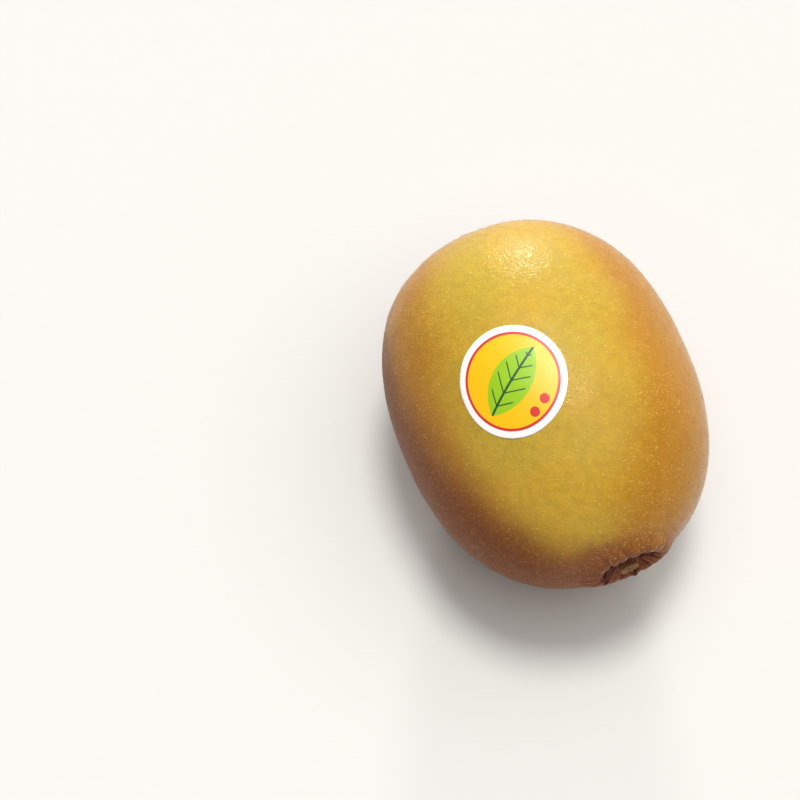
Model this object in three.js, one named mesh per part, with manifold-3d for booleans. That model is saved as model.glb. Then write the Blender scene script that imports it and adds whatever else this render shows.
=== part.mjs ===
// A golden kiwifruit (Actinidia chinensis), picked and lying on its side.
//
// Millimetres, +Z up. The long axis runs along X, with the stem end at +X and the blossom end at -X.
// The origin is at the middle of the object's box, on the surface that the fruit rests on.
//
// The flesh and its skin grew as one piece, so they are one solid. The stem end is a shallow cavity
// with a swollen collar round it. In it sit the dried calyx and the broken stub of the stalk. The
// blossom end is a blunt point that carries the tuft of withered styles. A thin printed label is
// stuck on the upper side.
import * as THREE from "three";
import { mergeVertices } from "three/addons/utils/BufferGeometryUtils.js";
import Module from "manifold-3d";

const wasm = await Module();
wasm.setup();

// The body.
const LENGTH = 67.8; // from pole to pole, before the two ends are shaped
const WIDTH = 54.4; // along Y
const HEIGHT = 52.4; // along Z, before the flat spot is taken off
const FULLNESS = 2.32; // exponent of the long outline: 2 is an ellipse, more is squarer
const TAPER = 0.016; // share by which the stem end is slimmer and the blossom end fuller
const AXIS_HEIGHT = 25.4; // of the long axis over the flat spot, which is cut 0.35 mm deep
// Broad swellings that wind round the body, each with its height as a share of the body's radius.
const SWELLINGS = [
  { lobes: 2, height: 0.005, winding: 1.5, start: -2.15 },
  { lobes: 3, height: 0.018, winding: -2.2, start: 0.44 },
];
const BODY_SEGMENTS = 84;
const BODY_RINGS = 50;
const RING_CROWDING = 0.115; // how strongly the rings crowd towards the two ends

// The stem end.
const COLLAR_RADIUS = 7.2;
const COLLAR_RISE = 0.9;
const COLLAR_SPREAD = 2.0;
const COLLAR_LEAN = 0.35; // share by which the collar is higher on its fuller side
const COLLAR_FULL_SIDE = 1.1; // angle of that side
const CAVITY_DEPTH = 1.7;
const CAVITY_FLOOR_RADIUS = 2.4;
const CAVITY_MOUTH_RADIUS = 6.6;
const FOLDS = 11; // puckers that run out of the cavity and over the collar
const FOLD_DEPTH = 0.2;
const FOLD_DRIFT = 1.3; // how unevenly they are spaced, in radians of one fold's wave
const FOLD_RADIUS = 5.4;
const FOLD_SPREAD = 2.2;

// The blossom end.
const POINT_RISE = 1.0;
const POINT_SPREAD = 5.5;
const PIT_FLOOR_RADIUS = 2.2;
const PIT_MOUTH_RADIUS = 4.0;
const PIT_DEPTH = 0.8;

// Pieces that sit on the skin stand this far off it.
const GAP = 0.3;

// The stub of the stalk.
const STUB_RADIUS = 1.7;
const STUB_HEIGHT = 1.9;
const STUB_FLARE = 0.3; // by how much its foot is wider
const STUB_HOLLOW = 0.4; // how far the broken end is dished
const STUB_RIDGES = 9;
const STUB_RIDGE_DEPTH = 0.06; // as a share of the radius
const STUB_SEGMENTS = 36;

// The calyx.
const SEPALS = 5;
const SEPAL_REACH = 2.5; // how far a sepal reaches out of the ring that joins them
const SEPAL_SHAPE = 0.8; // less is broader
const SEPAL_UNEVENNESS = 0.3;
const CALYX_INNER_RADIUS = 2.5;
const CALYX_RING_WIDTH = 0.9;
const CALYX_THICKNESS = 0.6;
const CALYX_TURN = 0.35; // angle of the middle of one sepal
const CALYX_SEGMENTS = 60;
const CALYX_RINGS = 4;

// The tuft of styles.
const TUFT_RADIUS = 1.9;
const TUFT_THICKNESS = 0.7;
const TUFT_SEGMENTS = 24;
const STYLE_ROOT_RADIUS = 0.36;
const STYLE_TIP_RADIUS = 0.18;
const STYLE_SIDES = 5;
const STYLE_ROWS = [
  { count: 13, radius: 1.5, lean: 0.8, length: 1.8 },
  { count: 7, radius: 0.7, lean: 0.35, length: 1.6 },
];

// The label.
const LABEL_WIDTH = 18.4;
const LABEL_HEIGHT = 19.6;
const LABEL_THICKNESS = 0.35;
const LABEL_X = 2.1; // of its middle
const LABEL_ANGLE = -0.27; // of its middle
const LABEL_TURN = 0.14; // angle from -X to the label's own upward direction
const LABEL_SEGMENTS = 48;
const LABEL_RINGS = 6;

// Angles round the long axis are in radians, from +Z towards +Y.
const halfLength = LENGTH / 2;
const halfWidth = WIDTH / 2;
const halfHeight = HEIGHT / 2;

const bell = (distance, spread) => Math.exp(-((distance / spread) ** 2));
const rise = THREE.MathUtils.smoothstep;

// How much the body swells or sinks, as a share of its radius. along runs from -1 at the blossom end
// to 1 at the stem end.
function swelling(along, angle) {
  const height = (one) => one.height * Math.cos(one.lobes * angle + one.winding * along + one.start);
  return SWELLINGS.reduce((sum, one) => sum + height(one), -TAPER * along);
}

// How far the skin of the stem end stands out along X, at a distance from the axis and an angle.
function stemRelief(radius, angle) {
  const lean = 1 + COLLAR_LEAN * Math.cos(angle - COLLAR_FULL_SIDE);
  const collar = COLLAR_RISE * lean * bell(radius - COLLAR_RADIUS, COLLAR_SPREAD);
  const cavity = CAVITY_DEPTH * (1 - rise(radius, CAVITY_FLOOR_RADIUS, CAVITY_MOUTH_RADIUS));
  const folding = FOLD_DEPTH * bell(radius - FOLD_RADIUS, FOLD_SPREAD);
  return collar - cavity + folding * Math.cos(FOLDS * angle + FOLD_DRIFT * Math.sin(2 * angle));
}

// The same at the blossom end, where it stands out along -X.
function blossomRelief(radius) {
  const point = POINT_RISE * bell(radius, POINT_SPREAD);
  return point - PIT_DEPTH * (1 - rise(radius, PIT_FLOOR_RADIUS, PIT_MOUTH_RADIUS));
}

// A point of the skin. turn runs from 0 at the stem's pole to pi at the blossom's.
function skinPoint(turn, angle) {
  const power = 2 / FULLNESS;
  const along = Math.sign(Math.cos(turn)) * Math.abs(Math.cos(turn)) ** power;
  const across = Math.abs(Math.sin(turn)) ** power * (1 + swelling(along, angle));
  const y = halfWidth * across * Math.sin(angle);
  const z = halfHeight * across * Math.cos(angle);
  const radius = Math.hypot(y, z);
  const relief = along > 0 ? stemRelief(radius, angle) : -blossomRelief(radius);
  return new THREE.Vector3(halfLength * along + relief, y, z + AXIS_HEIGHT);
}

// The point of an end's skin at a distance from the axis, lifted off it along the axis. end is 1 for
// the stem end and -1 for the blossom end.
function endPoint(end, radius, angle, lift) {
  const y = radius * Math.sin(angle);
  const z = radius * Math.cos(angle);
  const across = Math.hypot(y / halfWidth, z / halfHeight);
  const along = (1 - across ** FULLNESS) ** (1 / FULLNESS);
  const relief = end > 0 ? stemRelief(radius, angle) : blossomRelief(radius);
  return new THREE.Vector3(end * (halfLength * along + relief + lift), y, z + AXIS_HEIGHT);
}

// A point off the flank, which the reliefs of the ends don't reach, at a height over the skin.
function flankPoint(x, angle, height) {
  const turn = (at) => Math.acos(Math.sign(at) * Math.abs(at / halfLength) ** (FULLNESS / 2));
  const small = 0.01;
  const here = skinPoint(turn(x), angle);
  const ahead = skinPoint(turn(x + small), angle).sub(here);
  const beside = skinPoint(turn(x), angle + small).sub(here);
  return here.addScaledVector(ahead.cross(beside).normalize(), height);
}

// The angle of a vertex of a turned shape whose own axis, y, is laid down along X.
const angleOf = (vertex) => Math.atan2(-vertex.x, vertex.z);

// Moves every vertex of a geometry to where place puts it.
function reshape(geometry, place) {
  const position = geometry.getAttribute("position");
  for (let i = 0; i < position.count; i++) {
    const moved = place(new THREE.Vector3().fromBufferAttribute(position, i));
    position.setXYZ(i, moved.x, moved.y, moved.z);
  }
  return geometry;
}

// A closed geometry as a solid. The faces that have shrunk to a line at a pole are left out.
function solidOf(geometry) {
  const bare = new THREE.BufferGeometry();
  bare.setAttribute("position", geometry.getAttribute("position"));
  bare.setIndex(geometry.index);
  const merged = mergeVertices(bare, 1e-4);
  const corners = [];
  for (let i = 0; i < merged.index.count; i += 3) {
    const [a, b, c] = [0, 1, 2].map((k) => merged.index.getX(i + k));
    if (a !== b && b !== c && c !== a) corners.push(a, b, c);
  }
  return new wasm.Manifold(
    new wasm.Mesh({
      numProp: 3,
      vertProperties: merged.getAttribute("position").array,
      triVerts: new Uint32Array(corners),
    }),
  );
}

function geometryOf(solid) {
  const { vertProperties, triVerts } = solid.getMesh();
  const geometry = new THREE.BufferGeometry();
  geometry.setAttribute("position", new THREE.BufferAttribute(vertProperties, 3));
  geometry.setIndex(new THREE.BufferAttribute(triVerts, 1));
  geometry.computeVertexNormals();
  return geometry;
}

// A closed plate of revolution, to be bent: x and z run from inner to 1 from its middle, and y is 0
// on its lower face and 1 on its upper one.
function plate(inner, rings, segments) {
  const radii = Array.from({ length: rings + 1 }, (_, i) => THREE.MathUtils.lerp(inner, 1, i / rings));
  const profile = radii.map((radius) => new THREE.Vector2(radius, 0));
  profile.push(...radii.reverse().map((radius) => new THREE.Vector2(radius, 1)));
  if (inner > 0) profile.push(profile[0]);
  return new THREE.LatheGeometry(profile, segments);
}

function fruit() {
  const profile = [];
  for (let i = BODY_RINGS; i >= 0; i--) {
    const even = i / BODY_RINGS;
    const turn = Math.PI * (even - RING_CROWDING * Math.sin(2 * Math.PI * even));
    // The lathe's height holds the turn. A ring's radius only sets the poles apart.
    profile.push(new THREE.Vector2(i % BODY_RINGS ? 1 : 0, -turn));
  }
  const body = reshape(new THREE.LatheGeometry(profile, BODY_SEGMENTS), (v) =>
    skinPoint(-v.y, angleOf(v)),
  );
  const table = new THREE.BoxGeometry(LENGTH, WIDTH, HEIGHT).translate(0, 0, -HEIGHT / 2);
  return geometryOf(solidOf(body).subtract(solidOf(table)));
}

function stemStub() {
  const foot = STUB_RADIUS + STUB_FLARE;
  const profile = [
    [0, 0],
    [foot, 0],
    [foot, 0.15],
    [STUB_RADIUS, 0.45],
    [STUB_RADIUS, 0.85],
    [0.92 * STUB_RADIUS, 1],
    [0.6 * STUB_RADIUS, 1 - STUB_HOLLOW / STUB_HEIGHT],
    [0, 1 - STUB_HOLLOW / STUB_HEIGHT],
  ].map(([radius, share]) => new THREE.Vector2(radius, share * STUB_HEIGHT));
  return reshape(new THREE.LatheGeometry(profile, STUB_SEGMENTS), (v) => {
    const angle = angleOf(v);
    const radius = Math.hypot(v.x, v.z) * (1 + STUB_RIDGE_DEPTH * Math.cos(STUB_RIDGES * angle));
    const floor = endPoint(1, 0, 0, GAP);
    return new THREE.Vector3(
      floor.x + v.y,
      radius * Math.sin(angle),
      radius * Math.cos(angle) + AXIS_HEIGHT,
    );
  });
}

function calyx() {
  const edge = (angle) => {
    const lobe = (0.5 + 0.5 * Math.cos(SEPALS * (angle - CALYX_TURN))) ** SEPAL_SHAPE;
    const uneven = 1 + SEPAL_UNEVENNESS * Math.sin(2 * angle + 1);
    return CALYX_INNER_RADIUS + CALYX_RING_WIDTH + SEPAL_REACH * lobe * uneven;
  };
  const inner = 0.5;
  return reshape(plate(inner, CALYX_RINGS, CALYX_SEGMENTS), (v) => {
    const angle = angleOf(v);
    const outward = THREE.MathUtils.mapLinear(Math.hypot(v.x, v.z), inner, 1, 0, 1);
    const radius = THREE.MathUtils.lerp(CALYX_INNER_RADIUS, edge(angle), outward);
    return endPoint(1, radius, angle, GAP + CALYX_THICKNESS * v.y);
  });
}

function style({ radius, lean, length }, angle) {
  return new THREE.CylinderGeometry(STYLE_TIP_RADIUS, STYLE_ROOT_RADIUS, length, STYLE_SIDES)
    .translate(0, length / 2, 0)
    .rotateX(lean)
    .translate(0, 0, radius)
    .rotateY(angle);
}

function styleTuft() {
  const base = new THREE.CylinderGeometry(TUFT_RADIUS, TUFT_RADIUS, TUFT_THICKNESS, TUFT_SEGMENTS);
  let tuft = solidOf(base.translate(0, TUFT_THICKNESS / 2, 0));
  for (const row of STYLE_ROWS) {
    for (let i = 0; i < row.count; i++) {
      const sunk = style(row, (2 * Math.PI * i) / row.count).translate(0, TUFT_THICKNESS / 2, 0);
      tuft = tuft.add(solidOf(sunk));
    }
  }
  const floor = endPoint(-1, 0, 0, GAP);
  return geometryOf(tuft)
    .rotateZ(Math.PI / 2)
    .translate(floor.x, 0, AXIS_HEIGHT);
}

function label() {
  return reshape(plate(0, LABEL_RINGS, LABEL_SEGMENTS), (v) => {
    const up = (-v.z * LABEL_HEIGHT) / 2;
    const right = (v.x * LABEL_WIDTH) / 2;
    const back = up * Math.cos(LABEL_TURN) - right * Math.sin(LABEL_TURN);
    const round = up * Math.sin(LABEL_TURN) + right * Math.cos(LABEL_TURN);
    return flankPoint(LABEL_X - back, LABEL_ANGLE + round / halfHeight, GAP + LABEL_THICKNESS * v.y);
  });
}

const looks = {
  skin: { color: 0xc09a3c, roughness: 0.55, metalness: 0 },
  wood: { color: 0x7a4a2c, roughness: 0.85, metalness: 0 },
  driedSepal: { color: 0x5e3420, roughness: 0.9, metalness: 0 },
  driedStyle: { color: 0x3a2418, roughness: 0.95, metalness: 0 },
  film: { color: 0xf6c514, roughness: 0.35, metalness: 0 },
};

function piece(name, geometry, look) {
  const mesh = new THREE.Mesh(geometry, new THREE.MeshStandardMaterial(look));
  mesh.name = name;
  return mesh;
}

const kiwi = new THREE.Group();
kiwi.add(
  piece("fruit", fruit(), looks.skin),
  piece("stem_stub", stemStub(), looks.wood),
  piece("calyx", calyx(), looks.driedSepal),
  piece("style_tuft", styleTuft(), looks.driedStyle),
  piece("label", label(), looks.film),
);

// Both ends count in the object's box, so it is centred as a whole.
const middle = new THREE.Box3().setFromObject(kiwi, true).getCenter(new THREE.Vector3());
kiwi.position.set(-middle.x, -middle.y, 0);

export default kiwi;
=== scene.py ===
"""Dresses a golden kiwifruit that lies on its side: skin, bristles, stalk stub, calyx, styles and label.

All lengths are in metres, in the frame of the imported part. The fruit's long axis runs along X, with
the stem end at +X and the blossom end at -X, and the fruit rests on the floor at Z = 0. Angles round
the axis are in radians, from +Z towards +Y.
"""

import math
import random

import bpy
import numpy as np
from bpy.props import FloatProperty, FloatVectorProperty, IntProperty, PointerProperty
from bpy.types import Operator, Panel, PropertyGroup
from mathutils import Matrix, Vector, noise


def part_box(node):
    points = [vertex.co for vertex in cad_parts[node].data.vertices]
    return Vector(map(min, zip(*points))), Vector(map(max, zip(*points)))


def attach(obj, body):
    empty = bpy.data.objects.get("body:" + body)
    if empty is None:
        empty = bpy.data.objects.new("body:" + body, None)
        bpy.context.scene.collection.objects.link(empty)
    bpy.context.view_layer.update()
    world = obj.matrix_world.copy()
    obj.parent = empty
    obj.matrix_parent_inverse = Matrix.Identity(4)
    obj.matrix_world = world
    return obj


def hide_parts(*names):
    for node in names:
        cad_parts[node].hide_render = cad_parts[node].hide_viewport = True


bl_info = {
    "name": "Golden Kiwifruit",
    "version": (1, 0, 0),
    "blender": (4, 5, 0),
    "location": "View3D > Sidebar > Kiwifruit",
    "description": "Models and finishes a whole golden kiwifruit with its stem end, styles and label",
    "category": "Add Mesh",
}

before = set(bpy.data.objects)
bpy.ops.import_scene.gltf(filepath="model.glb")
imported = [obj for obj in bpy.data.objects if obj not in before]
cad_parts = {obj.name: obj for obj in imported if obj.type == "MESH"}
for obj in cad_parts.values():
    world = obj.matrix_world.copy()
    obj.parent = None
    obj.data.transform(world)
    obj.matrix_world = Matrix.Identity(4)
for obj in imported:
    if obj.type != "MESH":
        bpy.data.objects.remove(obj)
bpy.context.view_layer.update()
MM = 0.001


def linear(code):
    """The linear colour of an sRGB hex code such as "#B9A03A"."""
    shares = [int(code[i : i + 2], 16) / 255 for i in (1, 3, 5)]
    return [s / 12.92 if s <= 0.04045 else ((s + 0.055) / 1.055) ** 2.4 for s in shares]


def distance(name, description, size_mm):
    """A length property with its default in millimetres."""
    return FloatProperty(
        name=name, description=description, default=size_mm * MM, min=0, unit="LENGTH", precision=5
    )


def colour(name, description, code):
    """A colour property with its default as an sRGB hex code."""
    return FloatVectorProperty(
        name=name, description=description, default=linear(code), subtype="COLOR", min=0, max=1
    )


def share(name, description, default, high=1.0):
    """A plain number property."""
    return FloatProperty(name=name, description=description, default=default, min=0, max=high)


class KiwifruitBody(PropertyGroup):
    """The fruit's own shape, the same as the solids'."""

    length: distance("Length", "From pole to pole, before the ends are shaped", 67.8)
    width: distance("Width", "Across the fruit, along Y", 54.4)
    height: distance("Height", "Through the fruit, before its flat spot", 52.4)
    fullness: share("Fullness", "Exponent of the long outline: 2 is an ellipse", 2.32, 4)
    taper: share("Taper", "By how much the stem end is slimmer", 0.016)
    axis_height: distance("Axis Height", "Height of the long axis over the floor", 25.4)


class KiwifruitEnds(PropertyGroup):
    """The relief of the stem end and of the blossom end."""

    collar_radius: distance("Collar Radius", "Where the stem end's collar is highest", 7.2)
    collar_rise: distance("Collar Rise", "How far the collar stands out", 0.9)
    collar_spread: distance("Collar Spread", "How far the collar reaches to either side", 2.0)
    cavity_depth: distance("Cavity Depth", "How deep the stem's cavity is", 1.7)
    cavity_floor: distance("Cavity Floor", "Radius of the cavity's floor", 2.4)
    cavity_mouth: distance("Cavity Mouth", "Radius of the cavity's mouth", 6.6)
    point_rise: distance("Point Rise", "How far the blossom end's point stands out", 1.0)
    point_spread: distance("Point Spread", "How far the point reaches", 5.5)
    pit_depth: distance("Pit Depth", "How deep the pit under the styles is", 0.8)
    pit_floor: distance("Pit Floor", "Radius of the pit's floor", 2.2)
    pit_mouth: distance("Pit Mouth", "Radius of the pit's mouth", 4.0)


class KiwifruitSkin(PropertyGroup):
    """The skin's colours and its bristles."""

    # Gold and tan are partly the skin's own colours and partly painted light and shade: paler gold where
    # the upper side faces the lamps, tan on the flanks that turn away.
    gold: colour("Gold", "Most of the upper side", "#C9A136")
    olive: colour("Olive", "Greener patches of the upper side", "#B3A03E")
    tan: colour("Tan", "The flanks", "#B27819")
    # Bronze is partly the underside's own colour and partly painted shade on the underside and the flank
    # turned from the lamps.
    bronze_and_shade: colour("Bronze", "The underside", "#7A3C0A")
    fleck: colour("Fleck", "Pale lenticels and scars of shed hairs", "#ECC45C")
    stem_brown: colour("Stem Brown", "The skin in the stem's cavity", "#7A341B")
    # The collar's rose is partly the skin's own stain and partly painted shade round the stem end.
    collar_rose_and_shade: colour("Stem Rose", "The skin of the collar", "#87481D")
    # Crease colour: it makes the creases between the puckers darker.
    crease: colour("Crease", "Dust and dry skin between the puckers", "#47200F")
    bristle: colour("Bristle", "The short hairs", "#C08A36")
    bristles: IntProperty(name="Bristles", description="How many hairs", default=9000, min=0)


class KiwifruitLabel(PropertyGroup):
    """The printed label."""

    width: distance("Width", "Across the label", 18.4)
    height: distance("Height", "From the label's foot to its top", 19.6)
    thickness: distance("Thickness", "Of the film with its glue", 0.08)
    rim: colour("Rim", "The unprinted edge", "#FFFDF6")
    field: colour("Field", "The printed ground", "#FFC60A")
    ring: colour("Ring", "The thin printed ring", "#D8322E")
    leaf: colour("Leaf", "The printed leaf", "#9CCB1E")
    vein: colour("Vein", "The leaf's veins", "#14532A")


class KiwifruitStage(PropertyGroup):
    """The floor, the lights and the camera."""

    floor: colour("Floor", "The pale floor", "#DFDDD8")
    key: share("Key Light", "The low light: how bright it makes a white card that faces it", 0.6, 10)
    wide: share("Wide Light", "The wide light from above, measured in the same way", 0.54, 10)
    top: share("Top Light", "The small light overhead, measured in the same way", 0.55, 10)
    room_light: share("Room Light", "Brightness of the pale room overhead", 0.15, 10)


SWELLINGS = (  # the body's broad lobes: how high, as a share of its radius, and how they wind along it
    {"lobes": 2, "height": 0.005, "winding": 1.5, "start": -2.15},
    {"lobes": 3, "height": 0.018, "winding": -2.2, "start": 0.44},
)
COLLAR_LEAN = 0.35  # by how much of its rise the collar stands out further on its full side
COLLAR_FULL_SIDE = 1.1  # angle of that side
LABEL_X = 2.1 * MM  # place of the label's middle along the fruit
LABEL_ANGLE = -0.27  # and round it
LABEL_TURN = 0.14  # how far the label is turned on the skin


def settings(name):
    """One of this add-on's groups of properties on the scene."""
    return getattr(bpy.context.scene, "kiwifruit_" + name)


def bell(offset, spread):
    """A smooth hump, 1 at no offset."""
    return np.exp(-((offset / spread) ** 2))


def rise(value, low, high):
    """Goes smoothly from 0 at low to 1 at high."""
    t = np.clip((value - low) / (high - low), 0, 1)
    return t * t * (3 - 2 * t)


def grain(points, size, seed):
    """Smooth noise of about -1 to 1 at each point, with lumps of that size."""
    start = Vector((seed * 17.3, seed * -5.1, seed * 9.7))
    return np.array([noise.noise(Vector(p) + start) for p in points / size])


def swelling(along, angle):
    """The body's broad lobes, as a share of its radius."""
    swell = -settings("body").taper * along
    for s in SWELLINGS:
        swell = swell + s["height"] * np.cos(s["lobes"] * angle + s["winding"] * along + s["start"])
    return swell


def stem_relief(radius, angle):
    """How far the skin of the stem end stands out along X."""
    ends = settings("ends")
    lean = 1 + COLLAR_LEAN * np.cos(angle - COLLAR_FULL_SIDE)
    collar = ends.collar_rise * lean * bell(radius - ends.collar_radius, ends.collar_spread)
    return collar - ends.cavity_depth * (1 - rise(radius, ends.cavity_floor, ends.cavity_mouth))


def blossom_relief(radius):
    """How far the skin of the blossom end stands out along -X."""
    ends = settings("ends")
    point = ends.point_rise * bell(radius, ends.point_spread)
    return point - ends.pit_depth * (1 - rise(radius, ends.pit_floor, ends.pit_mouth))


def skin_points(turn, angle):
    """Points of the smooth skin. turn runs from 0 at the stem's pole to pi at the blossom's."""
    body = settings("body")
    power = 2 / body.fullness
    along = np.sign(np.cos(turn)) * np.abs(np.cos(turn)) ** power
    across = np.abs(np.sin(turn)) ** power * (1 + swelling(along, angle))
    y = body.width / 2 * across * np.sin(angle)
    z = body.height / 2 * across * np.cos(angle)
    radius = np.hypot(y, z)
    relief = np.where(along > 0, stem_relief(radius, angle), -blossom_relief(radius))
    return np.stack([body.length / 2 * along + relief, y, z + body.axis_height], axis=-1)


def end_points(end, radius, angle, lift):
    """Points of an end's skin, lifted off it along the axis. end is 1 at the stem and -1 at the blossom."""
    body = settings("body")
    y = radius * np.sin(angle)
    z = radius * np.cos(angle)
    across = np.hypot(2 * y / body.width, 2 * z / body.height)
    along = (1 - across**body.fullness) ** (1 / body.fullness)
    relief = stem_relief(radius, angle) if end > 0 else blossom_relief(radius)
    return np.stack([end * (body.length / 2 * along + relief + lift), y, z + body.axis_height], axis=-1)


def pole(end, lift=0):
    """The middle of an end's skin, lifted off it along the axis."""
    return end_points(end, np.array(0.0), np.array(0.0), lift)


def flank_points(x, angle):
    """Points of the skin's flank and the directions that face away from it."""
    body = settings("body")
    small = 0.01

    def at(place, turned):
        share_along = np.abs(2 * place / body.length) ** (body.fullness / 2)
        return skin_points(np.arccos(np.sign(place) * share_along), turned)

    here = at(x, angle)
    outward = np.cross(at(x + small * MM, angle) - here, at(x, angle + small) - here)
    return here, outward / np.linalg.norm(outward, axis=-1, keepdims=True)


def frame_shift():
    """From the fruit's own coordinates to the frame's, where the whole object's box is centred."""
    turn, angle = np.meshgrid(np.linspace(0, math.pi, 361), np.linspace(0, 2 * math.pi, 361))
    own = skin_points(turn.ravel(), angle.ravel())
    low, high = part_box("fruit")
    shift = np.array((low + high) / 2) - (own.min(axis=0) + own.max(axis=0)) / 2
    shift[2] = 0
    return shift


def fruit_middle():
    """The middle of the fruit's long axis, in the frame."""
    return Vector(frame_shift()) + Vector((0, 0, settings("body").axis_height))


def begin():
    """Leaves nothing selected, so that an operator acts on the new piece alone."""
    bpy.ops.object.select_all(action="DESELECT")


def read_all(parts, name, width=3):
    """One property of all the vertices or faces of a mesh, a row for each."""
    values = np.empty(len(parts) * width)
    parts.foreach_get(name, values)
    return values.reshape(-1, width)


def vertices_of(piece):
    """The places of a piece's vertices."""
    return read_all(piece.data.vertices, "co")


def move_vertices(piece, places):
    """Moves a piece's vertices to new places."""
    piece.data.vertices.foreach_set("co", np.ascontiguousarray(places, dtype=np.float32).ravel())
    piece.data.update()


def set_uvs(piece, name, places):
    """Names a piece's UV map and lays each vertex at its place on it."""
    layer = piece.data.uv_layers.active
    layer.name = name
    corners = np.empty(len(piece.data.loops), dtype=np.int32)
    piece.data.loops.foreach_get("vertex_index", corners)
    layer.data.foreach_set("uv", places[corners].astype(np.float32).ravel())


def apply_modifier(piece, kind, **options):
    """Adds a modifier to the piece in hand and applies it."""
    modifier = piece.modifiers.new(kind, kind)
    for name, value in options.items():
        setattr(modifier, name, value)
    bpy.ops.object.modifier_apply(modifier=modifier.name)


def join(pieces):
    """Makes one piece of several, which keeps the first one's name."""
    begin()
    for piece in pieces:
        piece.select_set(True)
    bpy.context.view_layer.objects.active = pieces[0]
    bpy.ops.object.join()
    return pieces[0]


def finish_piece(piece, name, material, node=None):
    """Names a finished piece, gives it its material and hands it to the frame."""
    piece.name = name
    piece.data.name = name
    piece.data.materials.clear()
    piece.data.materials.append(material)
    begin()
    piece.select_set(True)
    bpy.context.view_layer.objects.active = piece
    bpy.ops.object.transform_apply(location=True, rotation=True, scale=True)
    bpy.ops.object.shade_smooth()
    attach(piece, "root")
    if node:
        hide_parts(node)
    return piece


SMOOTH = {"interpolation_type": "SMOOTHSTEP"}  # options of a Map Range node
COLOURS = {"data_type": "RGBA", "output": 2}  # options of a Mix node: 0 is its factor, 6 and 7 mix
DISTANCE = {"operation": "DISTANCE", "output": "Value"}  # options of a Vector Math node
ALONG = {"operation": "DOT_PRODUCT", "output": "Value"}  # others, for how far a place lies out that way


def add_node(material, kind, inputs=(), output=0, **options):
    """Adds a node with its options, fills its sockets with values or links, and gives its output.

    inputs holds the values in the sockets' order, or by a socket's name or number.
    """
    made = material.node_tree.nodes.new("ShaderNode" + kind)
    for name, value in options.items():
        setattr(made, name, value)
    for socket, value in inputs.items() if isinstance(inputs, dict) else enumerate(inputs):
        target = made.inputs[socket]
        if isinstance(value, bpy.types.NodeSocket):
            material.node_tree.links.new(value, target)
        elif isinstance(value, (int, float)):
            target.default_value = value
        else:
            target.default_value = (*value, 1)[: len(target.default_value)]
    return made.outputs[output] if made.outputs else made


def new_material(name):
    """An empty material."""
    material = bpy.data.materials.new(name)
    material.use_nodes = True
    material.node_tree.nodes.clear()
    return material


def finish_material(material, relief, inputs):
    """Closes a material with its shader. relief is its fine height in metres."""
    bump = add_node(material, "Bump", {"Height": relief, "Strength": 1, "Distance": 1})
    shader = add_node(material, "BsdfPrincipled", inputs | {"Normal": bump})
    add_node(material, "OutputMaterial", [shader])
    return material


def place_in_mm(material):
    """The place on the object, in millimetres, so a texture's Scale is 1 over its pattern's size."""
    place = add_node(material, "TexCoord", output="Object")
    return add_node(material, "VectorMath", {0: place, "Scale": 1 / MM}, operation="SCALE")


def end_centre(end, y_mm=0, z_mm=0):
    """The middle of the skin at an end, in millimetres of the frame, or a point beside it."""
    centre = pole(end) + frame_shift()
    return tuple(float(c) for c in centre / MM + (0, y_mm, z_mm))


STRIPE_SKEW = math.radians(17)  # the gold stripe, partly painted light on the upper side, runs askew to the fruit's long axis
STRIPE_STRETCH = 5  # how many times longer than wide the golden stripe is
GOLD_AND_LIGHT_SIDE = (-0.05, -0.09, 1)  # the way that the stripe's middle faces: upwards, where its paler gold is partly painted light
STRIPE_EDGE = (0.72, 1.10)  # cosines off that way, noise included, over which the flanks' tan, partly painted shade, turns to gold
STRIPE_RAGGEDNESS = 0.2  # share of the noise in them
OLIVE_SHARE = 0.5
BRONZE_AND_SHADE_SIDE = (0.15, -0.5, -0.85)  # towards the stem end, the flank turned from the lamps and the underside, where the bronze is partly painted shade
BRONZE_AND_SHADE_EDGE = (-2, 11)  # millimetres out that way, over which the skin turns to bronze and painted shade
SUNNY_SIDE = (0.3, -0.15, 0.94)  # the way that the lit and ripest skin faces; skin turned away from it is bronzed, partly as painted shade
SHADE_EDGE = (-16, -2)  # millimetres out that way, over which the far side's bronze and painted shade ends
SHADE_SHARE = 0.9
BRONZE_RAGGEDNESS = 8  # millimetres by which noise shifts both edges


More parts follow.
